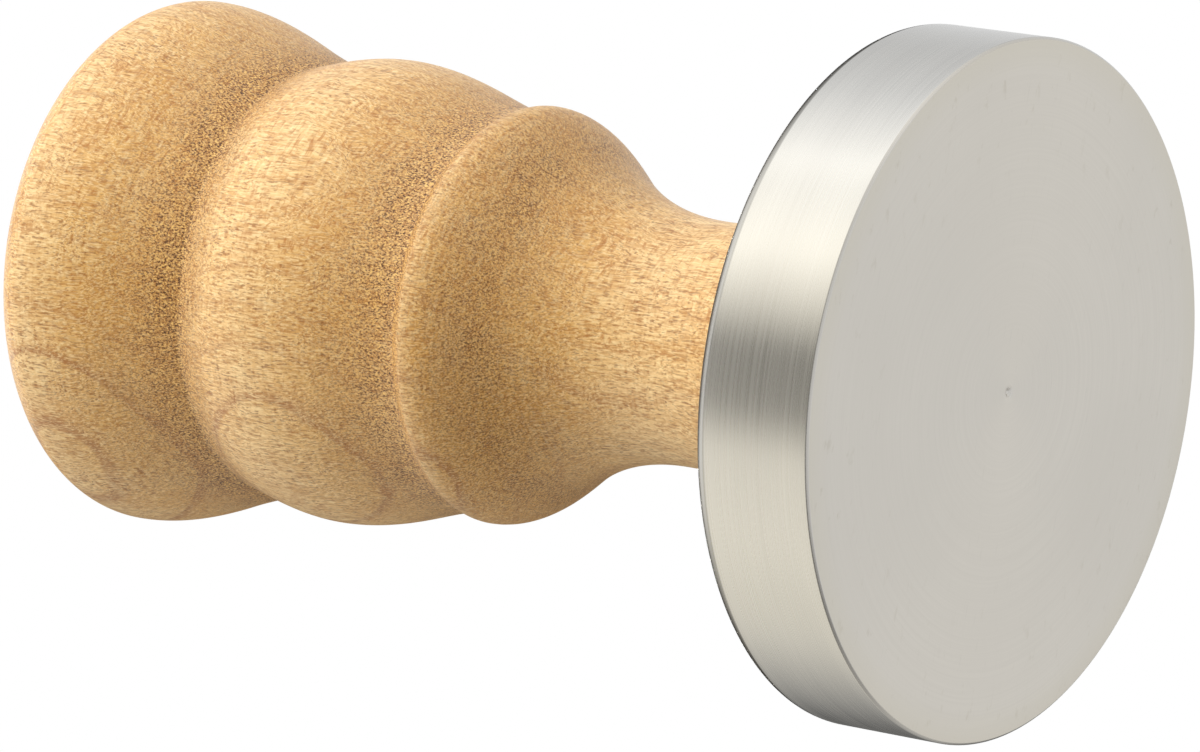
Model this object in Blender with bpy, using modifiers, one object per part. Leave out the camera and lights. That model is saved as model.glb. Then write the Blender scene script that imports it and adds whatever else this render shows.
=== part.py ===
"""Espresso tamper: a solid steel base and a turned wooden handle that screws onto it.

The tamper stands on its tamping face. The origin is the centre of that face, +Z runs up
through the handle, and every length is in metres.
"""

import math

import bmesh
import bpy
from mathutils import Matrix

# ---------------------------------------------------------------- driving dimensions
BASE_DIAMETER = 0.058
BASE_HEIGHT = 0.0111
BACK_EDGE_ROUND = 0.0013
FACE_EDGE_CHAMFER = 0.0003
CENTRE_DIMPLE_RADIUS = 0.0005
CENTRE_DIMPLE_DEPTH = 0.0004

FIT_GAP = 0.0003            # room between two pieces that touch
WASHER_THICKNESS = 0.0006
WASHER_DIAMETER = 0.0196
WASHER_HOLE = 0.0088

THREAD_PITCH = 0.00125      # M8 coarse
THREAD_PITCH_RADIUS = 0.003594
FLANK_SLOPE = math.tan(math.radians(30.0))
STUD_MAJOR, STUD_MINOR = 0.0038, 0.0032
HOLE_MAJOR, HOLE_MINOR = 0.0041, 0.00345
FLANK_ALLOWANCE = 0.000115  # taken off each stud flank and added to each hole flank
FLANK_BURIED_DEPTH = 0.00015  # how far a ridge's flanks carry on below the core's surface
RIDGE_BURIED_DEPTH = 0.0004   # how far the whole ridge reaches into its core
STUD_BOTTOM = 0.0032
STUD_ENGAGEMENT = 0.0100    # eight turns of thread inside the handle's insert
TAPPED_HOLE_BOTTOM = 0.0027

INSERT_DIAMETER = 0.0114
INSERT_LENGTH = 0.0115
INSERT_RECESS = 0.0002      # how far the insert sits inside the handle's foot
INSERT_GROOVE_DEPTH = 0.0005
INSERT_GROOVE_WIDTH = 0.0016
INSERT_CHAMFER = 0.0004
BORE_CLEARANCE = 0.0003
BORE_CONE_HEIGHT = 0.0022

FOOT_RADIUS = 0.0125
FOOT_EDGE_ROUND = 0.0008
FOOT_SLOPE = -0.22          # how fast the radius falls as the neck leaves the foot
KNOB_EDGE_RADIUS = 0.0033
KNOB_DOME_RADIUS = 0.040

CUTTER_OVERRUN = 0.002      # how far a cutter carries on outside the piece it cuts
MERGE_DISTANCE = 0.00001
SHARP_ANGLE = math.radians(35.0)
BASE_SEGMENTS = 96
HANDLE_SEGMENTS = 56
SMALL_SEGMENTS = 32
THREAD_SEGMENTS = 16

# ---------------------------------------------------------------- derived heights
WASHER_BOTTOM = BASE_HEIGHT + FIT_GAP
WASHER_TOP = WASHER_BOTTOM + WASHER_THICKNESS
FOOT_HEIGHT = WASHER_TOP + FIT_GAP
INSERT_BOTTOM = FOOT_HEIGHT + INSERT_RECESS
INSERT_TOP = INSERT_BOTTOM + INSERT_LENGTH
STUD_TOP = INSERT_BOTTOM + STUD_ENGAGEMENT
BORE_RADIUS = INSERT_DIAMETER / 2 + BORE_CLEARANCE
BORE_TOP = INSERT_TOP + BORE_CLEARANCE

# The handle's outline from the neck to the knob: height, radius, and the slope of the
# radius below and above that point. The two slopes differ only at the grooves between
# the tiers, which are creases.
NECK = (0.0296, 0.01036, 0.0, 0.0)
COVE = (0.0436, 0.01522, 0.81, 0.81)
THIRD_TIER_CREST = (0.0486, 0.01790, 0.0, 0.0)
LOWER_GROOVE = (0.0498, 0.01730, -0.60, -0.05)
SECOND_TIER_FLARE = (0.0583, 0.01916, 0.28, 0.28)
SECOND_TIER_CREST = (0.0642, 0.02009, 0.0, 0.0)
UPPER_GROOVE = (0.0714, 0.01875, -0.30, 0.33)
KNOB_FLARE = (0.0780, 0.02100, 0.40, 0.40)
KNOB_CREST = (0.0857, 0.02287, 0.0, 0.0)
OUTLINE = (
    (NECK, COVE, 7),
    (COVE, THIRD_TIER_CREST, 5),
    (THIRD_TIER_CREST, LOWER_GROOVE, 3),
    (LOWER_GROOVE, SECOND_TIER_FLARE, 4),
    (SECOND_TIER_FLARE, SECOND_TIER_CREST, 4),
    (SECOND_TIER_CREST, UPPER_GROOVE, 4),
    (UPPER_GROOVE, KNOB_FLARE, 3),
    (KNOB_FLARE, KNOB_CREST, 5),
)


# ---------------------------------------------------------------- scene and materials
def clear_scene():
    for obj in list(bpy.data.objects):
        bpy.data.objects.remove(obj, do_unlink=True)


def new_collection(name):
    collection = bpy.data.collections.new(name)
    bpy.context.scene.collection.children.link(collection)
    return collection


def principled(name, colour, roughness, metallic):
    material = bpy.data.materials.new(name)
    material.use_nodes = True
    shader = material.node_tree.nodes["Principled BSDF"]
    shader.inputs["Base Color"].default_value = (*colour, 1.0)
    shader.inputs["Roughness"].default_value = roughness
    shader.inputs["Metallic"].default_value = metallic
    return material


# ---------------------------------------------------------------- shape helpers
def arc(centre, radius, start, end, steps):
    """Points (radius, height) along an arc whose angles are in degrees from +X."""
    points = []
    for i in range(steps + 1):
        angle = math.radians(start + (end - start) * i / steps)
        points.append((centre[0] + radius * math.cos(angle), centre[1] + radius * math.sin(angle)))
    return points


def hermite(low, high, steps):
    """Points (radius, height) of the smooth curve that rises from low to high."""
    z0, r0, _, s0 = low
    z1, r1, s1, _ = high
    rise = z1 - z0
    points = []
    for i in range(steps + 1):
        t = i / steps
        radius = (
            (2 * t**3 - 3 * t**2 + 1) * r0
            + (t**3 - 2 * t**2 + t) * rise * s0
            + (-2 * t**3 + 3 * t**2) * r1
            + (t**3 - t**2) * rise * s1
        )
        points.append((radius, z0 + rise * t))
    return points


def turned(name, outline, segments, collection):
    """A turned solid: the outline, read top to bottom, swept round Z by a Screw modifier."""
    mesh = bpy.data.meshes.new(name)
    edges = [(i, i + 1) for i in range(len(outline) - 1)]
    mesh.from_pydata([(r, 0.0, z) for r, z in outline], edges, [])
    obj = bpy.data.objects.new(name, mesh)
    collection.objects.link(obj)
    screw = obj.modifiers.new("turn", "SCREW")
    screw.axis = "Z"
    screw.angle = 2 * math.pi
    screw.steps = segments
    screw.render_steps = segments
    screw.use_merge_vertices = True
    screw.merge_threshold = MERGE_DISTANCE
    screw.use_smooth_shade = True
    return obj


def closed_loop(outline):
    return outline + outline[:1]


def finish_part(obj, material):
    """Bake the modifiers, give the piece its material and shade its round faces smooth."""
    depsgraph = bpy.context.evaluated_depsgraph_get()
    mesh = bpy.data.meshes.new_from_object(obj.evaluated_get(depsgraph))
    obj.modifiers.clear()
    obj.data = mesh
    mesh.name = obj.name
    mesh.materials.clear()
    mesh.materials.append(material)
    mesh.shade_smooth()
    mesh.set_sharp_from_angle(angle=SHARP_ANGLE)
    return obj


def boolean(obj, cutter, operation):
    modifier = obj.modifiers.new(cutter.name, "BOOLEAN")
    modifier.operation = operation
    modifier.solver = "EXACT"
    modifier.object = cutter
    cutter.hide_render = True
    cutter.display_type = "WIRE"


def cylinder(name, radius, bottom, top, segments, collection):
    """A closed cylinder on Z whose corners lie midway between those of a thread."""
    mesh = bpy.data.meshes.new(name)
    bm = bmesh.new()
    bmesh.ops.create_cone(
        bm, cap_ends=True, segments=segments, radius1=radius, radius2=radius, depth=top - bottom
    )
    half_step = Matrix.Rotation(math.pi / segments, 3, "Z")
    bmesh.ops.rotate(bm, verts=bm.verts, cent=(0.0, 0.0, 0.0), matrix=half_step)
    bmesh.ops.translate(bm, verts=bm.verts, vec=(0.0, 0.0, (top + bottom) / 2))
    bm.to_mesh(mesh)
    bm.free()
    obj = bpy.data.objects.new(name, mesh)
    collection.objects.link(obj)
    return obj


def helical_ridge(name, major, minor, allowance, bottom, top, collection):
    """The thread's ridge: a trapezoid carried up a right-hand helix about Z.

    The helix passes through z = 0 at +X, so every thread made here is in step.
    """
    pitch_line = THREAD_PITCH / 4 + allowance
    under = minor - FLANK_BURIED_DEPTH
    root = pitch_line + (THREAD_PITCH_RADIUS - under) * FLANK_SLOPE
    crest = pitch_line - (major - THREAD_PITCH_RADIUS) * FLANK_SLOPE
    buried = minor - RIDGE_BURIED_DEPTH
    start_turn = math.ceil(bottom / THREAD_PITCH)
    turns = math.floor(top / THREAD_PITCH) - start_turn
    height = start_turn * THREAD_PITCH
    mesh = bpy.data.meshes.new(name)
    bm = bmesh.new()
    corners = [(buried, -root), (under, -root), (major, -crest),
               (major, crest), (under, root), (buried, root)]
    verts = [bm.verts.new((r, 0.0, height + z)) for r, z in corners]
    face = bm.faces.new(verts)
    bmesh.ops.spin(
        bm,
        geom=[face] + list(face.edges) + verts,
        cent=(0.0, 0.0, 0.0),
        axis=(0.0, 0.0, 1.0),
        dvec=(0.0, 0.0, THREAD_PITCH / THREAD_SEGMENTS),
        angle=2 * math.pi * turns,
        steps=THREAD_SEGMENTS * turns,
    )
    bmesh.ops.recalc_face_normals(bm, faces=bm.faces)
    bm.to_mesh(mesh)
    bm.free()
    obj = bpy.data.objects.new(name, mesh)
    collection.objects.link(obj)
    return obj


# ---------------------------------------------------------------- the pieces
def make_base(parts, cutters, material):
    radius = BASE_DIAMETER / 2
    back_edge = arc((radius - BACK_EDGE_ROUND, BASE_HEIGHT - BACK_EDGE_ROUND), BACK_EDGE_ROUND, 90, 0, 5)
    outline = [(0.0, BASE_HEIGHT)] + back_edge + [
        (radius, FACE_EDGE_CHAMFER),
        (radius - FACE_EDGE_CHAMFER, 0.0),
        (CENTRE_DIMPLE_RADIUS, 0.0),
        (0.0, CENTRE_DIMPLE_DEPTH),
    ]
    base = turned("base", outline, BASE_SEGMENTS, parts)
    over = BASE_HEIGHT + CUTTER_OVERRUN
    tap_drill = cylinder("tap_drill", HOLE_MINOR, TAPPED_HOLE_BOTTOM, over, THREAD_SEGMENTS, cutters)
    tap_thread = helical_ridge("tap_thread", HOLE_MAJOR, HOLE_MINOR, FLANK_ALLOWANCE,
                               TAPPED_HOLE_BOTTOM, over, cutters)
    boolean(tap_drill, tap_thread, "UNION")
    boolean(base, tap_drill, "DIFFERENCE")
    return finish_part(base, material)


def make_stud(parts, cutters, material):
    stud = cylinder("stud", STUD_MINOR, STUD_BOTTOM, STUD_TOP, THREAD_SEGMENTS, parts)
    ridge = helical_ridge("stud_thread", STUD_MAJOR, STUD_MINOR, -FLANK_ALLOWANCE,
                          STUD_BOTTOM + THREAD_PITCH / 2, STUD_TOP - THREAD_PITCH / 2, cutters)
    boolean(stud, ridge, "UNION")
    return finish_part(stud, material)


def make_insert(parts, cutters, material):
    radius = INSERT_DIAMETER / 2
    middle = (INSERT_BOTTOM + INSERT_TOP) / 2
    half = INSERT_GROOVE_WIDTH / 2
    groove = radius - INSERT_GROOVE_DEPTH
    outline = [
        (0.0, INSERT_TOP),
        (radius - INSERT_CHAMFER, INSERT_TOP),
        (radius, INSERT_TOP - INSERT_CHAMFER),
        (radius, middle + half),
        (groove, middle + half / 2),
        (groove, middle - half / 2),
        (radius, middle - half),
        (radius, INSERT_BOTTOM + INSERT_CHAMFER),
        (radius - INSERT_CHAMFER, INSERT_BOTTOM),
        (0.0, INSERT_BOTTOM),
    ]
    insert = turned("threaded_insert", outline, SMALL_SEGMENTS, parts)
    low, high = INSERT_BOTTOM - CUTTER_OVERRUN, INSERT_TOP + CUTTER_OVERRUN
    drill = cylinder("insert_drill", HOLE_MINOR, low, high, THREAD_SEGMENTS, cutters)
    thread = helical_ridge("insert_thread", HOLE_MAJOR, HOLE_MINOR, FLANK_ALLOWANCE, low, high, cutters)
    boolean(drill, thread, "UNION")
    boolean(insert, drill, "DIFFERENCE")
    return finish_part(insert, material)


def make_washer(parts, material):
    outer, inner = WASHER_DIAMETER / 2, WASHER_HOLE / 2
    outline = [(inner, WASHER_TOP), (outer, WASHER_TOP), (outer, WASHER_BOTTOM), (inner, WASHER_BOTTOM)]
    washer = turned("washer", closed_loop(outline), SMALL_SEGMENTS, parts)
    return finish_part(washer, material)


def handle_outline():
    """The handle's outline from the top of the knob to the end of its blind bore."""
    crest_height, crest_radius = KNOB_CREST[0], KNOB_CREST[1]
    edge_centre = (crest_radius - KNOB_EDGE_RADIUS, crest_height)
    reach = KNOB_DOME_RADIUS - KNOB_EDGE_RADIUS
    join_angle = math.degrees(math.acos(edge_centre[0] / reach))
    dome_centre = (0.0, crest_height - reach * math.sin(math.radians(join_angle)))
    outline = arc(dome_centre, KNOB_DOME_RADIUS, 90, join_angle, 5)
    outline[0] = (0.0, outline[0][1])
    outline += arc(edge_centre, KNOB_EDGE_RADIUS, join_angle, 0, 4)[1:]
    for low, high, steps in reversed(OUTLINE):
        outline += hermite(low, high, steps)[::-1][1:]

    foot = (FOOT_HEIGHT + FOOT_EDGE_ROUND, FOOT_RADIUS, FOOT_SLOPE, FOOT_SLOPE)
    outline += hermite(foot, NECK, 5)[::-1][1:]
    foot_edge = (FOOT_RADIUS - FOOT_EDGE_ROUND, FOOT_HEIGHT + FOOT_EDGE_ROUND)
    outline += arc(foot_edge, FOOT_EDGE_ROUND, 0, -90, 3)[1:]
    return outline + [
        (BORE_RADIUS, FOOT_HEIGHT),
        (BORE_RADIUS, BORE_TOP),
        (0.0, BORE_TOP + BORE_CONE_HEIGHT),
    ]


def make_handle(parts, material):
    handle = turned("handle", handle_outline(), HANDLE_SEGMENTS, parts)
    return finish_part(handle, material)


def main():
    clear_scene()
    parts = new_collection("espresso_tamper")
    cutters = new_collection("cutters")
    steel = principled("base_steel", (0.62, 0.61, 0.59), 0.32, 1.0)
    zinc_steel = principled("stud_steel", (0.55, 0.56, 0.57), 0.38, 1.0)
    washer_steel = principled("washer_steel", (0.66, 0.66, 0.65), 0.35, 1.0)
    brass = principled("insert_brass", (0.74, 0.58, 0.28), 0.35, 1.0)
    maple = principled("handle_maple", (0.72, 0.50, 0.27), 0.50, 0.0)

    base = make_base(parts, cutters, steel)
    stud = make_stud(parts, cutters, zinc_steel)
    washer = make_washer(parts, washer_steel)
    insert = make_insert(parts, cutters, brass)
    handle = make_handle(parts, maple)

    # The handle and its insert turn about the stud's axis, carried by the washer.
    screw_axis = bpy.data.objects.new("screw_axis", None)
    parts.objects.link(screw_axis)
    for piece in (washer, insert, handle):
        piece.parent = screw_axis
    stud.parent = base


main()
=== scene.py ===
"""Looks of the espresso tamper: fine turned meshes, maple, brushed steel and brass.

Lengths are in metres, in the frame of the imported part: the origin is the centre of the
tamping face and +Z runs up through the handle.
"""

import math

import bpy
from mathutils import Matrix, Vector


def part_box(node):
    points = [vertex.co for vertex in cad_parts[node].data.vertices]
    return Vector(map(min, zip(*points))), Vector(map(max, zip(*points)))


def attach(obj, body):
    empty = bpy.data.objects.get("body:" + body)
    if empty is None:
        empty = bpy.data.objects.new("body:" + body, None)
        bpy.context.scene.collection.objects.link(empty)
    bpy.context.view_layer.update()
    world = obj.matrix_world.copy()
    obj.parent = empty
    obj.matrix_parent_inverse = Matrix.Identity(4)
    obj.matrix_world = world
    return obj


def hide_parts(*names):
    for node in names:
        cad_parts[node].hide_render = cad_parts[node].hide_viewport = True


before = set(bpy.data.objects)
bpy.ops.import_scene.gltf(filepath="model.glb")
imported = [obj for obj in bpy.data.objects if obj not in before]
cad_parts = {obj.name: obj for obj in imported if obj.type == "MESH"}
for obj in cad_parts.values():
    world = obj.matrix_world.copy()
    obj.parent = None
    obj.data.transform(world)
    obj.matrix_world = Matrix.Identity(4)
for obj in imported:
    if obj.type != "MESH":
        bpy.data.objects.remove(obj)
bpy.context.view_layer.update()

# ---------------------------------------------------------------- places from the frame
MM = 0.001
_, base_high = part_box("base")
stud_low, stud_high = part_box("stud")
_, washer_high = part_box("washer")
insert_low, insert_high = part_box("threaded_insert")
handle_low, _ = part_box("handle")

BASE_RADIUS = base_high.x
BASE_TOP = base_high.z
BACK_EDGE_ROUND = 1.3 * MM
FACE_EDGE_CHAMFER = 0.22 * MM
EDGE_SOFTNESS = 0.08 * MM
STUD_HOLE_RADIUS = 4.1 * MM
STUD_HOLE_BOTTOM = 2.7 * MM
COUNTERSINK = 0.5 * MM
# Radius and depth, in mm, of the dimple that the lathe leaves in the middle of the face.
CENTRE_DIMPLE = ((0.75, 0.0), (0.55, 0.01), (0.40, 0.06), (0.20, 0.22), (0.0, 0.36))
FLAT_NORMAL = 0.9           # a face of the base whose normal's Z is past this is on a flat end

THREAD_PITCH = 1.25 * MM
THREAD_FLANK_START, THREAD_FLANK = 0.40, 0.30       # in pitches, from the crest's middle
STUD_MAJOR, STUD_MINOR = 3.8 * MM, 3.2 * MM
INSERT_MAJOR, INSERT_MINOR = 4.1 * MM, 3.45 * MM

CONTACT = 0.02 * MM         # the hairline left between two pieces that touch
FOOT_HEIGHT = handle_low.z
FOOT_RADIUS = 12.5 * MM
FOOT_EDGE_ROUND = 0.8 * MM
FOOT_SLOPE = -0.22          # how the radius changes with height just above the foot
KNOB_EDGE_RADIUS = 3.3 * MM
KNOB_DOME_RADIUS = 40 * MM
BORE_CLEARANCE = 0.3 * MM
BORE_CONE_HEIGHT = 2.2 * MM
OUTLINE_STEP = 0.35         # mm between the points of the handle's outline

# The handle's outline, as height, radius and the radius's slope below and above.
NECK = (29.6, 10.36, 0.0, 0.0)
COVE = (43.6, 15.22, 0.81, 0.81)
THIRD_TIER_CREST = (48.6, 17.90, 0.0, 0.0)
LOWER_GROOVE = (49.8, 17.30, -0.60, -0.05)
SECOND_TIER_FLARE = (58.3, 19.16, 0.28, 0.28)
SECOND_TIER_CREST = (64.2, 20.09, 0.0, 0.0)
UPPER_GROOVE = (71.4, 18.75, -0.30, 0.33)
KNOB_FLARE = (78.0, 21.00, 0.40, 0.40)
KNOB_CREST = (85.7, 22.87, 0.0, 0.0)
TIERS = (NECK, COVE, THIRD_TIER_CREST, LOWER_GROOVE, SECOND_TIER_FLARE,
         SECOND_TIER_CREST, UPPER_GROOVE, KNOB_FLARE, KNOB_CREST)


# ---------------------------------------------------------------- mesh helpers
def arc(centre, radius, start, end, steps):
    """Points (radius, height) along an arc whose angles are in degrees from +X."""
    points = []
    for i in range(steps + 1):
        angle = math.radians(start + (end - start) * i / steps)
        points.append((centre[0] + radius * math.cos(angle), centre[1] + radius * math.sin(angle)))
    return points


def line(start, end, steps):
    return [(start[0] + (end[0] - start[0]) * i / steps, start[1] + (end[1] - start[1]) * i / steps)
            for i in range(steps + 1)]


def hermite(low, high, steps):
    """Points (radius, height) in metres of the smooth curve that rises from low to high."""
    z0, r0, _, s0 = low
    z1, r1, s1, _ = high
    rise = z1 - z0
    points = []
    for i in range(steps + 1):
        t = i / steps
        radius = ((2 * t**3 - 3 * t**2 + 1) * r0 + (t**3 - 2 * t**2 + t) * rise * s0
                  + (-2 * t**3 + 3 * t**2) * r1 + (t**3 - t**2) * rise * s1)
        points.append((radius * MM, (z0 + rise * t) * MM))
    return points


def new_piece(name, verts, faces, sharp_angle):
    mesh = bpy.data.meshes.new(name)
    mesh.from_pydata(verts, [], faces)
    mesh.validate()
    mesh.shade_smooth()
    mesh.set_sharp_from_angle(angle=math.radians(sharp_angle))
    obj = bpy.data.objects.new(name, mesh)
    bpy.context.scene.collection.objects.link(obj)
    return obj


def ring_grid(rings, closed):
    """Vertices and outward faces of rings of points, each listed counter-clockwise from above
    and stacked so that the surface runs top to bottom on its outer side. A ring of one point
    is a pole. With closed, the last ring joins the first."""
    verts, starts = [], []
    for ring in rings:
        starts.append(len(verts))
        verts.extend(ring)
    faces = []
    pairs = list(zip(range(len(rings) - 1), range(1, len(rings))))
    if closed:
        pairs.append((len(rings) - 1, 0))
    for a, b in pairs:
        count = max(len(rings[a]), len(rings[b]))
        for i in range(count):
            j = (i + 1) % count
            if len(rings[a]) == 1:
                faces.append((starts[a], starts[b] + i, starts[b] + j))
            elif len(rings[b]) == 1:
                faces.append((starts[a] + j, starts[a] + i, starts[b]))
            else:
                faces.append((starts[a] + j, starts[a] + i, starts[b] + i, starts[b] + j))
    return verts, faces


def circle(radius, height, segments):
    if radius < 1e-9:
        return [(0.0, 0.0, height)]
    return [(radius * math.cos(2 * math.pi * i / segments),
             radius * math.sin(2 * math.pi * i / segments), height) for i in range(segments)]


def turned(name, outline, segments, closed=False, sharp_angle=30):
    """A turned piece whose outline runs down its outer side."""
    rings = [circle(r, z, segments) for r, z in outline]
    verts, faces = ring_grid(rings, closed)
    return new_piece(name, verts, faces, sharp_angle)


def thread_height(height, angle):
    """0 at the root and 1 at the crest of a right-hand thread in step with the CAD's."""
    phase = (height / THREAD_PITCH - angle / (2 * math.pi)) % 1.0
    from_crest = min(phase, 1.0 - phase)
    return min(1.0, max(0.0, (THREAD_FLANK_START - from_crest) / THREAD_FLANK))


def smooth(t):
    t = min(1.0, max(0.0, t))
    return t * t * (3 - 2 * t)


# ---------------------------------------------------------------- node helpers
class Nodes:
    """A short way to write a shader's nodes."""

    def __init__(self, tree):
        self.tree = tree

    def add(self, kind, inputs=None, **settings):
        node = self.tree.nodes.new(kind)
        for key, value in settings.items():
            setattr(node, key, value)
        for key, value in (inputs or {}).items():
            self.set(node, key, value)
        return node

    def set(self, node, key, value):
        socket = node.inputs[key]
        if isinstance(value, bpy.types.NodeSocket):
            self.tree.links.new(value, socket)
        elif socket.type == "RGBA":
            socket.default_value = (*value, 1.0)
        else:
            socket.default_value = value

    def math(self, operation, a, b=None, clamp=False):
        node = self.add("ShaderNodeMath", operation=operation, use_clamp=clamp)
        for i, value in enumerate((a, b)):
            if value is not None:
                self.set(node, i, value)
        return node.outputs[0]

    def length(self, a, b):
        squares = self.math("ADD", self.math("MULTIPLY", a, a), self.math("MULTIPLY", b, b))
        return self.math("POWER", squares, 0.5)

    def scaled(self, vector, scale, offset=(0.0, 0.0, 0.0)):
        node = self.add("ShaderNodeMapping", {"Vector": vector, "Location": offset, "Scale": scale})
        return node.outputs[0]

    def noise(self, vector, scale=None, offset=(0.0, 0.0, 0.0), detail=2.0, roughness=0.5):
        """A solid noise of 0 to 1. scale is how many times it repeats for each mm on each axis."""
        if scale is not None:
            vector = self.scaled(vector, scale, offset)
        node = self.add("ShaderNodeTexNoise", {"Vector": vector, "Scale": 1.0, "Detail": detail,
                                               "Roughness": roughness, "Distortion": 0.0})
        return node.outputs["Fac"]

    def ramp(self, factor, stops):
        """stops are (position, value)."""
        node = self.add("ShaderNodeValToRGB", {"Fac": factor})
        ramp = node.color_ramp
        ramp.interpolation = "LINEAR"
        while len(ramp.elements) < len(stops):
            ramp.elements.new(0.5)
        for element, (position, value) in zip(ramp.elements, stops):
            element.position = position
            element.color = (value, value, value, 1.0)
        return node.outputs["Color"]

    def profile(self, height, stops):
        """A ramp along a height in mm. stops are (height, value)."""
        low, high = stops[0][0], stops[-1][0]
        return self.ramp(self.range(height, low, high),
                         [((z - low) / (high - low), value) for z, value in stops])

    def range(self, value, low, high, to_low=0.0, to_high=1.0, kind="LINEAR"):
        node = self.add("ShaderNodeMapRange", {"Value": value, "From Min": low, "From Max": high,
                                               "To Min": to_low, "To Max": to_high},
                        interpolation_type=kind)
        return node.outputs["Result"]

    def mix(self, factor, a, b, blend="MIX"):
        node = self.add("ShaderNodeMix", data_type="RGBA", blend_type=blend)
        self.set(node, 0, factor)
        self.set(node, 6, a)
        self.set(node, 7, b)
        return node.outputs[2]

    def bump(self, height, strength, distance):
        inputs = {"Height": height, "Strength": strength, "Distance": distance}
        return self.add("ShaderNodeBump", inputs).outputs["Normal"]


def new_material(name):
    material = bpy.data.materials.new(name)
    material.use_nodes = True
    nodes = Nodes(material.node_tree)
    return material, nodes, material.node_tree.nodes["Principled BSDF"]


def position_in_mm(nodes):
    coords = nodes.add("ShaderNodeTexCoord").outputs["Object"]
    return nodes.scaled(coords, (1 / MM, 1 / MM, 1 / MM))


def rgb(red, green, blue):
    """A colour from display values of 0 to 255 to the linear values that shaders take."""
    def linear(value):
        value /= 255
        return value / 12.92 if value <= 0.04045 else ((value + 0.055) / 1.055) ** 2.4
    return linear(red), linear(green), linear(blue)


def times(colour, *factors):
    """A colour scaled by one factor, or by one for each channel."""
    if len(factors) == 1:
        factors *= 3
    return tuple(value * factor for value, factor in zip(colour, factors))


# ---------------------------------------------------------------- materials
RING_ANGLE = math.radians(-148)     # the direction, seen from above, that the year rings face
PITH_DISTANCE = 69.4                # mm from the handle's axis to the tree's centre, at RING_LEVEL
RING_LEVEL = 64.0                   # mm
RING_TAPER = 0.078                  # how far a ring moves out from the pith for each mm of height
RING_SPACING = 2.15                 # mm
# Open end grain and painted shade at each height: 1 in the grooves, 0 on the crests.
GROOVE_GRAIN_AND_PAINTED_SHADE = (
    (28.0, 0.0), (36.0, 0.12), (40.0, 0.45), (43.0, 0.85), (45.5, 0.55), (47.6, 0.30), (48.7, 0.35),
    (49.1, 0.80), (49.6, 1.2), (52.0, 1.1), (54.5, 0.60), (58.0, 0.15), (60.5, 0.0), (68.0, 0.0),
    (70.0, 0.55), (71.2, 1.0), (71.6, 1.2), (73.4, 1.1), (75.8, 0.55), (79.0, 0.16), (82.0, 0.0))
OLD_YEAR_START, OLD_YEAR = 39.6, 40.4   # years from the pith; the rings past these are all strong


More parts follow.
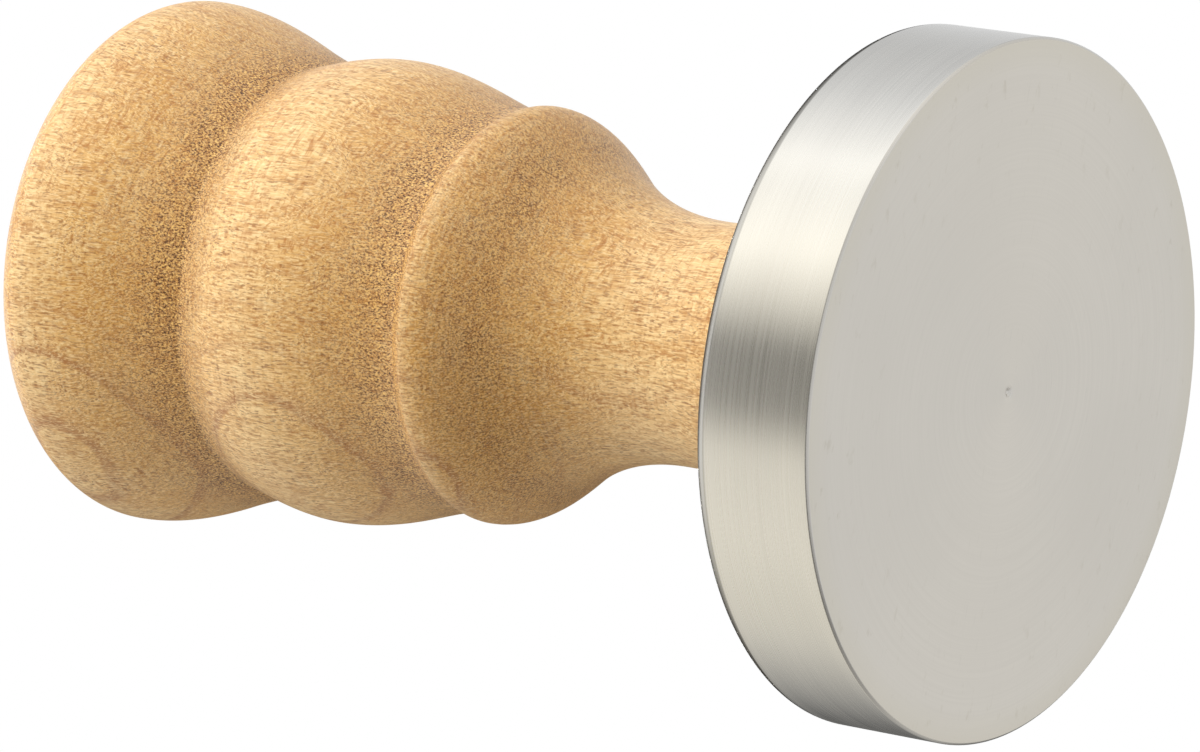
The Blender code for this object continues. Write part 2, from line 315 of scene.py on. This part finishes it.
def maple_material():
    """Hard maple: year rings, ray flecks, short pores along the grain and end-grain speckle.

    Every pattern is solid, so it shows as dashes along the grain, as dots where the turning
    cuts across the grain, and as arches where a tier bulges through the year rings.
    """
    material, nodes, shader = new_material("maple")
    place = position_in_mm(nodes)

    # x across the rings (radial), y along them (tangential), z along the grain
    turn = nodes.add("ShaderNodeVectorRotate", {"Vector": place, "Angle": -RING_ANGLE},
                     rotation_type="Z_AXIS").outputs[0]
    parts = nodes.add("ShaderNodeSeparateXYZ", {"Vector": turn})
    wave = nodes.noise(turn, (0.25, 0.25, 0.16), (3.0, 8.0, 5.0), detail=2.0)
    wave_mm = nodes.range(wave, 0.3, 0.7, -0.45, 0.45)
    shift = nodes.add("ShaderNodeCombineXYZ", {"X": wave_mm, "Y": wave_mm}).outputs[0]
    grain = nodes.add("ShaderNodeVectorMath", {0: turn, 1: shift}, operation="ADD").outputs[0]

    # year rings: a thin dark line at the end of each year, after a band that darkens softly
    drift = nodes.noise(turn, (0.045, 0.045, 0.022), (2.0, 6.0, 4.0), detail=2.0)
    gap = nodes.noise(grain, (0.5, 0.5, 0.24), (6.0, 1.0, 7.0), detail=2.0)
    from_pith = nodes.math("ADD", parts.outputs["X"], PITH_DISTANCE)
    distance = nodes.math("ADD", nodes.length(from_pith, parts.outputs["Y"]),
                          nodes.range(drift, 0.3, 0.7, -0.35, 0.35))
    distance = nodes.math("ADD", distance, nodes.math("MULTIPLY", wave_mm, 0.16))
    above = nodes.math("SUBTRACT", parts.outputs["Z"], RING_LEVEL)
    distance = nodes.math("SUBTRACT", distance, nodes.math("MULTIPLY", above, RING_TAPER))
    years = nodes.math("DIVIDE", distance, RING_SPACING)
    year = nodes.math("FRACT", years)
    line_shade = nodes.ramp(year, [(0.0, 0.0), (0.80, 0.0), (0.91, 1.0), (0.95, 1.0), (0.99, 0.0)])
    line_shade = nodes.math("MULTIPLY", line_shade, nodes.range(gap, 0.34, 0.56, 0.55, 1.0))
    along_rings = nodes.range(nodes.math("ABSOLUTE", parts.outputs["X"]), 4.0, 17.0, 0.22, 1.0)
    line_shade = nodes.math("MULTIPLY", line_shade, along_rings)
    band_shade = nodes.ramp(year, [(0.0, 0.0), (0.45, 0.0), (0.90, 1.0), (0.97, 1.0), (1.0, 0.0)])
    one_year = nodes.add("ShaderNodeTexWhiteNoise", {"W": nodes.math("FLOOR", years)},
                         noise_dimensions="1D").outputs["Value"]
    strength = nodes.math("MAXIMUM", nodes.range(one_year, 0.0, 1.0, 0.35, 0.80),
                          nodes.range(years, OLD_YEAR_START, OLD_YEAR))

    # fibres, pores and rays
    fibre = nodes.noise(grain, (4.6, 4.6, 0.36), detail=3.0, roughness=0.62)
    thread = nodes.noise(grain, (8.0, 8.0, 0.9), (7.1, 3.3, 1.9), detail=2.0)
    dash = nodes.noise(grain, (5.6, 5.6, 1.2), (13.0, 5.0, 2.0), detail=1.5, roughness=0.6)
    patch = nodes.noise(turn, (0.22, 0.30, 0.12), (5.0, 1.0, 8.0), detail=2.0)
    dashes = nodes.math("MULTIPLY", nodes.range(dash, 0.55, 0.64),
                        nodes.range(patch, 0.32, 0.60, 0.40, 1.0))
    fleck = nodes.noise(grain, (3.4, 3.4, 0.80), (2.0, 9.0, 4.0), detail=2.0, roughness=0.6)
    flecks = nodes.math("MULTIPLY", nodes.range(fleck, 0.55, 0.63),
                        nodes.range(patch, 0.40, 0.60, 0.25, 1.0))
    ray = nodes.noise(grain, (0.55, 6.0, 3.0), (3.0, 11.0, 7.0), detail=1.5)
    rays = nodes.math("MULTIPLY", nodes.range(ray, 0.55, 0.68),
                      nodes.range(patch, 0.35, 0.62, 1.0, 0.25))
    sheen_ray = nodes.noise(grain, (0.45, 5.0, 2.6), (31.0, 2.0, 5.0), detail=1.0)
    pale_rays = nodes.range(sheen_ray, 0.56, 0.70)
    cloud = nodes.noise(turn, (0.11, 0.16, 0.05), (1.0, 2.0, 3.0), detail=3.0)
    streak = nodes.noise(grain, (1.1, 1.1, 0.09), (9.0, 4.0, 1.0), detail=2.0)

    # sanding on the lathe leaves fine marks round the handle
    sanding = nodes.noise(place, (0.22, 0.22, 4.6), (8.0, 2.0, 6.0), detail=2.0, roughness=0.6)
    sanding = nodes.math("MULTIPLY", nodes.range(sanding, 0.40, 0.62),
                         nodes.range(patch, 0.40, 0.62, 0.0, 1.0))

    # end grain where the turned surface leans across the fibres, most of all in the grooves, which also
    # take painted shade
    height = nodes.add("ShaderNodeSeparateXYZ", {"Vector": place}).outputs["Z"]
    uneven = nodes.range(patch, 0.35, 0.65, 0.78, 1.10)
    groove_grain_and_shade = nodes.math("MULTIPLY", nodes.profile(height, GROOVE_GRAIN_AND_PAINTED_SHADE), uneven)
    normal = nodes.add("ShaderNodeNewGeometry").outputs["Normal"]
    in_part = nodes.add("ShaderNodeVectorTransform", {"Vector": normal}, vector_type="NORMAL",
                        convert_from="WORLD", convert_to="OBJECT").outputs[0]
    lean = nodes.math("ABSOLUTE", nodes.add("ShaderNodeSeparateXYZ", {"Vector": in_part}).outputs["Z"])
    end_grain_and_groove_shade = nodes.math("MAXIMUM", groove_grain_and_shade, nodes.range(lean, 0.25, 0.95, 0.0, 0.75))
    # painted sheen: paler and creamier on the crests, where the surface faces sideways
    painted_crest_sheen = nodes.range(lean, 0.04, 0.34, 0.55, 0.0)
    pit = nodes.noise(turn, (7.2, 7.2, 4.4), (5.0, 8.0, 3.0), detail=2.0, roughness=0.7)
    pits = nodes.math("MULTIPLY", nodes.range(pit, 0.39, 0.47, 1.0, 0.0), end_grain_and_groove_shade)
    pale_pits = nodes.math("MULTIPLY", nodes.range(pit, 0.55, 0.63), end_grain_and_groove_shade)

    colour = nodes.mix(nodes.range(cloud, 0.34, 0.66), rgb(234, 188, 115), rgb(221, 169, 92))
    # the crests are painted paler, as painted sheen
    colour = nodes.mix(painted_crest_sheen, colour, rgb(251, 220, 168))
    colour = nodes.mix(nodes.range(streak, 0.40, 0.66, 0.0, 0.50), colour, rgb(202, 147, 74))
    colour = nodes.mix(nodes.math("MULTIPLY", band_shade, nodes.math("MULTIPLY", strength, 0.32)),
                       colour, rgb(188, 130, 72))
    colour = nodes.mix(nodes.math("MULTIPLY", line_shade, nodes.math("MULTIPLY", strength, 0.70)),
                       colour, rgb(160, 98, 50))
    colour = nodes.mix(nodes.range(fibre, 0.38, 0.51, 0.60, 0.0), colour, rgb(174, 113, 49))
    colour = nodes.mix(nodes.range(thread, 0.49, 0.63, 0.0, 0.62), colour, rgb(254, 224, 168))
    layers = (
        (dashes, 0.80, rgb(136, 82, 34)),
        (flecks, 0.64, rgb(170, 108, 42)),
        (rays, 0.66, rgb(178, 112, 44)),
        (pale_rays, 0.30, rgb(255, 230, 174)),
        (sanding, 0.24, rgb(255, 228, 176)),
        # end grain, and painted shade in the grooves
        (end_grain_and_groove_shade, 0.56, rgb(168, 112, 48)),
        (pits, 0.92, rgb(84, 50, 18)),
        (pale_pits, 0.74, rgb(246, 204, 122)))
    for where, amount, shade in layers:
        colour = nodes.mix(nodes.math("MULTIPLY", where, amount, clamp=True), colour, shade)

    nodes.set(shader, "Base Color", colour)
    nodes.set(shader, "Roughness", nodes.range(fibre, 0.3, 0.7, 0.38, 0.52))
    shader.inputs["Specular IOR Level"].default_value = 0.42
    shader.inputs["Coat Weight"].default_value = 0.22
    shader.inputs["Coat Roughness"].default_value = 0.36
    relief = nodes.math("SUBTRACT", nodes.math("MULTIPLY", fibre, 0.5),
                        nodes.math("MULTIPLY", dashes, 0.5))
    relief = nodes.math("SUBTRACT", relief, nodes.math("MULTIPLY", pits, 1.2))
    nodes.set(shader, "Normal", nodes.bump(relief, 0.5, 0.00006))
    return material


def steel_material(name, colour, roughness, concentric, edges=()):
    """Turned and brushed steel. The tool and the grit leave lines that run round the axis.

    edges are (height in mm, brightness) stops of painted shade that darkens the reflections on the worked
    edges.
    """
    material, nodes, shader = new_material(name)
    place = position_in_mm(nodes)
    split = nodes.add("ShaderNodeSeparateXYZ", {"Vector": place})
    x, y, z = split.outputs["X"], split.outputs["Y"], split.outputs["Z"]
    if concentric:
        radius = nodes.length(x, y)
        rings = nodes.add("ShaderNodeCombineXYZ", {"X": nodes.math("MULTIPLY", x, 0.05),
                                                   "Y": nodes.math("MULTIPLY", y, 0.05),
                                                   "Z": nodes.math("MULTIPLY", radius, 5.0)}).outputs[0]
        lines = nodes.noise(rings, detail=2.0, roughness=0.6)
        contrast, scratch_depth, anisotropy = 0.5, 0.12, 0.5
    else:
        lines = nodes.noise(place, (0.015, 0.015, 7.0), detail=1.5, roughness=0.6)
        contrast, scratch_depth, anisotropy = 0.8, 0.05, 0.75
    scratch = nodes.noise(place, (0.35, 5.0, 5.0), (2.0, 7.0, 4.0), detail=1.0)
    scratches = nodes.range(scratch, 0.66, 0.76, 0.0, scratch_depth)
    broad = nodes.noise(place, (0.06, 0.06, 0.3), (4.0, 1.0, 2.0), detail=2.0)
    tint = nodes.mix(nodes.range(lines, 0.3, 0.7),
                     times(colour, 1 - 0.065 * contrast), times(colour, 1 + 0.05 * contrast))
    tint = nodes.mix(nodes.range(broad, 0.35, 0.65, 0.0, 0.45), tint, times(colour, 0.94))
    tint = nodes.mix(scratches, tint, times(colour, 0.7))
    if concentric:
        # handling marks, mostly near the edge, and a faint stain round it
        smudge = nodes.noise(place, (0.42, 0.85, 0.5), (7.3, 2.1, 6.0), detail=3.0, roughness=0.65)
        smudges = nodes.math("MULTIPLY", nodes.range(smudge, 0.61, 0.71),
                             nodes.range(radius, 15.0, 27.0))
        tint = nodes.mix(nodes.math("MULTIPLY", smudges, 0.40), tint, times(colour, 0.74, 0.72, 0.66))
        stain = nodes.range(radius, 26.2, 28.9, 0.0, 0.55)
        tint = nodes.mix(stain, tint, times(colour, 0.95, 0.94, 0.88))
    shader.inputs["Metallic"].default_value = 1.0
    if edges:
        # painted shade: the edges are darkened, dimming what they reflect
        shade = nodes.profile(z, edges)
        tint = nodes.mix(1.0, tint, shade, "MULTIPLY")
        # the painted shade also makes the edge reflect less near grazing, which draws it as a dark outline
        edge_tint = nodes.ramp(nodes.range(shade, 0.66, 0.90), [(0.0, 0.0), (1.0, 1.0)])
        nodes.set(shader, "Specular Tint", edge_tint)
    nodes.set(shader, "Base Color", tint)
    nodes.set(shader, "Roughness", nodes.range(lines, 0.25, 0.75, roughness - 0.04, roughness + 0.05))
    shader.inputs["Anisotropic"].default_value = anisotropy
    shader.inputs["Anisotropic Rotation"].default_value = 0.25
    tangent = nodes.add("ShaderNodeTangent", direction_type="RADIAL", axis="Z").outputs[0]
    nodes.set(shader, "Tangent", tangent)
    nodes.set(shader, "Normal", nodes.bump(lines, 0.2 * contrast, 0.000012))
    return material


def brass_material():
    material, nodes, shader = new_material("machined_brass")
    place = position_in_mm(nodes)
    lines = nodes.noise(place, (0.3, 0.3, 8.0), detail=2.0)
    stain = nodes.noise(place, (0.5, 0.5, 0.5), detail=3.0)
    colour = nodes.mix(nodes.range(stain, 0.4, 0.7, 0.0, 0.5), (0.78, 0.58, 0.26), (0.58, 0.40, 0.16))
    nodes.set(shader, "Base Color", colour)
    shader.inputs["Metallic"].default_value = 1.0
    nodes.set(shader, "Roughness", nodes.range(lines, 0.3, 0.7, 0.24, 0.38))
    nodes.set(shader, "Normal", nodes.bump(lines, 0.2, 0.00001))
    return material


BASE_STEEL = (0.655, 0.636, 0.596)
THREAD_STEEL = (0.55, 0.56, 0.57)
WASHER_STEEL = (0.66, 0.66, 0.65)
# Painted shade on the rim's edges: brightness at heights in mm, from the tamping face and from the base's
# back.
FACE_EDGE_SHADE = ((0.0, 0.95), (0.30, 1.0))
BACK_EDGE_SHADE = ((-1.30, 1.0), (-1.12, 0.64), (-0.60, 0.58), (-0.20, 0.58), (0.0, 0.9))
RIM_SHADE = FACE_EDGE_SHADE + tuple((BASE_TOP / MM + z, shade) for z, shade in BACK_EDGE_SHADE)


# ---------------------------------------------------------------- pieces
def soft_corner(before, corner, after, radius, steps=4):
    """A small round that replaces the corner of an outline."""
    c = Vector(corner)
    a = (Vector(before) - c).normalized() * radius
    b = (Vector(after) - c).normalized() * radius
    points = []
    for i in range(steps + 1):
        t = i / steps
        points.append(tuple(c + a * (1 - t) ** 2 + b * t ** 2))
    return points


def make_base(rim, flat):
    """The steel puck, with a plain bore for the stud. Its flat ends take the second material."""
    radius = BASE_RADIUS
    chamfer_top = (radius, FACE_EDGE_CHAMFER)
    chamfer_foot = (radius - FACE_EDGE_CHAMFER, 0.0)
    mouth = (STUD_HOLE_RADIUS + COUNTERSINK, BASE_TOP)
    dimple = [(r * MM, depth * MM) for r, depth in CENTRE_DIMPLE]
    outline = line(mouth, (radius - BACK_EDGE_ROUND, BASE_TOP), 12)[:-1]
    outline += arc((radius - BACK_EDGE_ROUND, BASE_TOP - BACK_EDGE_ROUND), BACK_EDGE_ROUND, 90, 0, 12)
    outline += line((radius, BASE_TOP - BACK_EDGE_ROUND), chamfer_top, 8)[1:-1]
    outline += soft_corner((radius, BASE_TOP), chamfer_top, chamfer_foot, EDGE_SOFTNESS)
    outline += soft_corner(chamfer_top, chamfer_foot, (0.0, 0.0), EDGE_SOFTNESS)
    outline += line(chamfer_foot, dimple[0], 24)[1:]
    outline += dimple[1:]
    bore = [(0.0, STUD_HOLE_BOTTOM), (STUD_HOLE_RADIUS, STUD_HOLE_BOTTOM),
            (STUD_HOLE_RADIUS, BASE_TOP - COUNTERSINK)]
    base = turned("steel_base", bore + outline, 256)
    base.data.materials.append(rim)
    base.data.materials.append(flat)
    for polygon in base.data.polygons:
        polygon.material_index = 1 if abs(polygon.normal.z) > FLAT_NORMAL else 0
    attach(base, "base")
    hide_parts("base")


def make_stud(material):
    """The threaded stud, with a chamfered top."""
    segments, rows_per_pitch = 64, 20
    bottom, top = stud_low.z, stud_high.z
    rows = round((top - bottom) / THREAD_PITCH * rows_per_pitch)
    end_radius, chamfer_height = 2.9 * MM, 0.9 * MM
    rings = [circle(0.0, top, segments), circle(end_radius * 0.9, top, segments)]
    for k in range(rows + 1):
        height = top - (top - bottom) * k / rows
        limit = end_radius + min(top - height, height - bottom) / chamfer_height * (STUD_MAJOR - end_radius)
        ring = []
        for i in range(segments):
            angle = 2 * math.pi * i / segments
            radius = STUD_MINOR + (STUD_MAJOR - STUD_MINOR) * thread_height(height, angle)
            radius = min(radius, limit)
            ring.append((radius * math.cos(angle), radius * math.sin(angle), height))
        rings.append(ring)
    rings += [circle(end_radius * 0.9, bottom, segments), circle(0.0, bottom, segments)]
    verts, faces = ring_grid(rings, False)
    stud = new_piece("threaded_stud", verts, faces, 40)
    stud.data.materials.append(material)
    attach(stud, "base")
    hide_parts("stud")


def make_washer(material):
    """The washer fills the space between the base and the wooden foot."""
    low, high = BASE_TOP + CONTACT, FOOT_HEIGHT - CONTACT
    outer, inner = washer_high.x, 4.4 * MM
    soft = 0.15 * MM
    outline = [(inner, high)] + arc((outer - soft, high - soft), soft, 90, 0, 4)
    outline += arc((outer - soft, low + soft), soft, 0, -90, 4) + [(inner, low)]
    washer = turned("steel_washer", outline, 128, closed=True)
    washer.data.materials.append(material)
    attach(washer, "washer")
    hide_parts("washer")


def make_insert(material):
    """The brass insert: two knurled bands outside and a thread inside."""
    segments, rows_per_pitch = 96, 16
    bottom, top = insert_low.z, insert_high.z
    length = top - bottom
    outer = insert_high.x
    knurls, knurl_depth, groove_depth, chamfer = 32, 0.25 * MM, 0.5 * MM, 0.35 * MM
    rings = []
    outer_rows = 60
    for k in range(outer_rows + 1):
        height = top - length * k / outer_rows
        t = k / outer_rows
        edge = min(height - bottom, top - height)
        band = smooth((abs(t - 0.5) - 0.07) / 0.03)
        ring = []
        for i in range(segments):
            angle = 2 * math.pi * i / segments
            ridge = abs((angle * knurls / (2 * math.pi)) % 1.0 - 0.5) * 2
            radius = outer - groove_depth + band * (groove_depth - knurl_depth * (1 - ridge))
            radius = min(radius, outer - chamfer + edge)
            ring.append((radius * math.cos(angle), radius * math.sin(angle), height))
        rings.append(ring)
    inner_rows = round(length / THREAD_PITCH * rows_per_pitch)
    for k in range(inner_rows + 1):
        height = bottom + length * k / inner_rows
        sink = min(height - bottom, top - height)
        ring = []
        for i in range(segments):
            angle = 2 * math.pi * i / segments
            ridge = 1 - thread_height(height, angle)
            radius = INSERT_MAJOR - (INSERT_MAJOR - INSERT_MINOR) * ridge
            radius = max(radius, INSERT_MAJOR + 0.2 * MM - sink)
            ring.append((radius * math.cos(angle), radius * math.sin(angle), height))
        rings.append(ring)
    verts, faces = ring_grid(rings, True)
    insert = new_piece("brass_insert", verts, faces, 40)
    insert.data.materials.append(material)
    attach(insert, "handle")
    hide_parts("threaded_insert")


def handle_outline():
    """From the top of the knob down to the end of the blind bore."""
    crest_radius, crest_height = KNOB_CREST[1] * MM, KNOB_CREST[0] * MM
    edge_centre = (crest_radius - KNOB_EDGE_RADIUS, crest_height)
    reach = KNOB_DOME_RADIUS - KNOB_EDGE_RADIUS
    join_angle = math.degrees(math.acos(edge_centre[0] / reach))
    dome_centre = (0.0, crest_height - reach * math.sin(math.radians(join_angle)))
    outline = arc(dome_centre, KNOB_DOME_RADIUS, 90, join_angle, 40)
    outline[0] = (0.0, outline[0][1])
    outline += arc(edge_centre, KNOB_EDGE_RADIUS, join_angle, 0, 20)[1:]
    for low, high in reversed(list(zip(TIERS, TIERS[1:]))):
        steps = max(8, round((high[0] - low[0]) / OUTLINE_STEP))
        outline += hermite(low, high, steps)[::-1][1:]
    foot = ((FOOT_HEIGHT + FOOT_EDGE_ROUND) / MM, FOOT_RADIUS / MM, FOOT_SLOPE, FOOT_SLOPE)
    outline += hermite(foot, NECK, 40)[::-1][1:]
    foot_edge_centre = (FOOT_RADIUS - FOOT_EDGE_ROUND, FOOT_HEIGHT + FOOT_EDGE_ROUND)
    outline += arc(foot_edge_centre, FOOT_EDGE_ROUND, 0, -90, 8)[1:]
    bore_radius = insert_high.x + CONTACT
    bore_top = insert_high.z + BORE_CLEARANCE
    outline += [(bore_radius, FOOT_HEIGHT), (bore_radius, bore_top)]
    return outline + [(0.0, bore_top + BORE_CONE_HEIGHT)]


def make_handle(material):
    handle = turned("maple_handle", handle_outline(), 256, sharp_angle=40)
    handle.data.materials.append(material)
    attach(handle, "handle")
    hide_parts("handle")


# ---------------------------------------------------------------- studio
CAMERA_PLACE = (0.0, -0.51839, -0.32012)
CAMERA_AIM = (-0.00406, 0.0, 0.04015)
CAMERA_ROLL = -80.65                # degrees; the tamper lies on its side in the picture
CAMERA_LENS = 225.0
FLOOR_RADIUS = 3.0


def make_camera():
    data = bpy.data.cameras.new("camera")
    data.lens = CAMERA_LENS
    data.sensor_width = 36.0
    data.clip_start, data.clip_end = 0.01, 20.0
    camera = bpy.data.objects.new("camera", data)
    bpy.context.scene.collection.objects.link(camera)
    place = Vector(CAMERA_PLACE)
    forward = Vector(CAMERA_AIM) - place
    level = forward.to_track_quat("-Z", "Y").to_matrix()
    roll = Matrix.Rotation(math.radians(CAMERA_ROLL), 3, "Z")
    camera.matrix_world = Matrix.Translation(place) @ (level @ roll).to_4x4()
    bpy.context.scene.camera = camera


def make_floor():
    """A pale floor under the tamping face. It is one-sided, so the tamper shows from below."""
    bpy.ops.mesh.primitive_circle_add(vertices=96, radius=FLOOR_RADIUS, fill_type="NGON",
                                      location=(0.0, 0.0, -CONTACT))
    floor = bpy.context.object
    floor.name = "floor"
    material, nodes, shader = new_material("pale_floor")
    shader.inputs["Base Color"].default_value = (0.60, 0.60, 0.595, 1.0)
    shader.inputs["Roughness"].default_value = 0.7
    under = nodes.add("ShaderNodeNewGeometry").outputs["Backfacing"]
    clear = nodes.add("ShaderNodeBsdfTransparent").outputs[0]
    blend = nodes.add("ShaderNodeMixShader")
    nodes.set(blend, 0, under)
    nodes.set(blend, 1, shader.outputs[0])
    nodes.set(blend, 2, clear)
    nodes.set(material.node_tree.nodes["Material Output"], "Surface", blend.outputs[0])
    floor.data.materials.append(material)
    floor.visible_diffuse = False
    floor.visible_glossy = False
    floor.visible_shadow = False


WORLD_POWER = 3.0
WARMTH = (1.0, 0.98, 0.945)         # of the light from below
WARM_TINT = (1.0, 0.965, 0.865)     # of the upper panels on the side of -X and -Y
COOL_TINT = (1.0, 1.02, 1.05)       # of the upper panels on the side of +X and +Y
OVERHEAD = 2.3
ZENITH = 0.7                        # a dimmer patch straight above
NADIR = 0.9                         # the light from straight below
# Brightness of the panels at each bearing, in degrees clockwise from +Y seen from above.
UPPER_PANELS = (
    (0, 1.02), (22, 0.83), (50, 0.72), (80, 0.92), (107, 1.42), (112, 1.70), (122, 1.41), (146, 1.65),
    (164, 0.98), (178, 0.26), (198, 0.34), (212, 1.00), (242, 1.08), (280, 0.94), (308, 0.48),
    (334, 0.12), (350, 0.08))
LOWER_PANELS = (
    (0, 0.95), (50, 0.85), (95, 1.20), (145, 0.60), (172, 0.34), (232, 0.08), (264, 0.14), (296, 0.44),
    (334, 0.88))


def panel_stops(panels):
    """The panels as a ramp's stops. Strength in make_world multiplies them back."""
    return [(bearing / 360, brightness / WORLD_POWER) for bearing, brightness in panels]


def make_world():
    """A soft studio: a broad light overhead, and panels round the sides at two heights."""
    world = bpy.data.worlds.new("studio")
    bpy.context.scene.world = world
    world.use_nodes = True
    nodes = Nodes(world.node_tree)
    direction = nodes.add("ShaderNodeTexCoord").outputs["Generated"]
    split = nodes.add("ShaderNodeSeparateXYZ", {"Vector": direction})
    azimuth = nodes.math("ARCTAN2", split.outputs["Y"], split.outputs["X"])
    # turn goes from 0 to 1, from +Y clockwise seen from above, as both ramps of panels do
    turn = nodes.math("FRACT", nodes.math("SUBTRACT", 1.25, nodes.math("DIVIDE", azimuth, 2 * math.pi)))
    away = nodes.math("ADD", nodes.math("MULTIPLY", split.outputs["Y"], 0.8),
                      nodes.math("MULTIPLY", split.outputs["X"], 0.6))
    tint = nodes.mix(nodes.range(away, -0.5, 0.6), WARM_TINT, COOL_TINT)
    upper = nodes.mix(1.0, nodes.ramp(turn, panel_stops(UPPER_PANELS)), tint, "MULTIPLY")
    lower = nodes.mix(1.0, nodes.ramp(turn, panel_stops(LOWER_PANELS)), WARMTH, "MULTIPLY")
    height = split.outputs["Z"]
    light = nodes.mix(nodes.range(height, -0.34, 0.16, kind="SMOOTHSTEP"), lower, upper)
    for low, high, brightness in ((0.74, 0.95, OVERHEAD), (0.955, 0.99, ZENITH)):
        above = nodes.range(height, low, high, kind="SMOOTHSTEP")
        light = nodes.mix(above, light, (brightness / WORLD_POWER,) * 3)
    below = nodes.range(height, -0.80, -0.58, 1.0, 0.0)
    light = nodes.mix(below, light, (NADIR / WORLD_POWER,) * 3)
    scene_light = nodes.add("ShaderNodeBackground", {"Color": light, "Strength": WORLD_POWER})
    backdrop = nodes.add("ShaderNodeBackground", {"Color": (1.0, 1.0, 1.0), "Strength": 1.0})
    seen = nodes.add("ShaderNodeLightPath").outputs["Is Camera Ray"]
    mix = nodes.add("ShaderNodeMixShader")
    nodes.set(mix, 0, seen)
    nodes.set(mix, 1, scene_light.outputs[0])
    nodes.set(mix, 2, backdrop.outputs[0])
    nodes.set(world.node_tree.nodes["World Output"], "Surface", mix.outputs[0])


KEY_PLACE, KEY_AIM = (0.28, -0.70, 0.60), (0.0, 0.0, 0.05)
KEY_SIZE, KEY_POWER = 0.5, 4.9
KEY_COLOUR = (1.0, 0.98, 0.95)


def make_key_light():
    """A soft square light, which the steel doesn't mirror."""
    data = bpy.data.lights.new("key", "AREA")
    data.shape = "RECTANGLE"
    data.size = KEY_SIZE
    data.size_y = KEY_SIZE
    data.energy = KEY_POWER
    data.color = KEY_COLOUR
    key = bpy.data.objects.new("key", data)
    key.location = KEY_PLACE
    key.rotation_euler = (Vector(KEY_AIM) - Vector(KEY_PLACE)).to_track_quat("-Z", "Y").to_euler()
    key.visible_glossy = False
    bpy.context.scene.collection.objects.link(key)


# ---------------------------------------------------------------- everything together
bpy.context.scene.view_settings.view_transform = "Standard"
make_camera()
make_floor()
make_world()
make_key_light()

rim_steel = steel_material("brushed_rim_steel", BASE_STEEL, 0.27, concentric=False, edges=RIM_SHADE)
face_steel = steel_material("faced_steel", BASE_STEEL, 0.36, concentric=True)
make_base(rim_steel, face_steel)
make_stud(steel_material("thread_steel", THREAD_STEEL, 0.32, concentric=False))
make_washer(steel_material("washer_steel", WASHER_STEEL, 0.30, concentric=True))
make_insert(brass_material())
make_handle(maple_material())
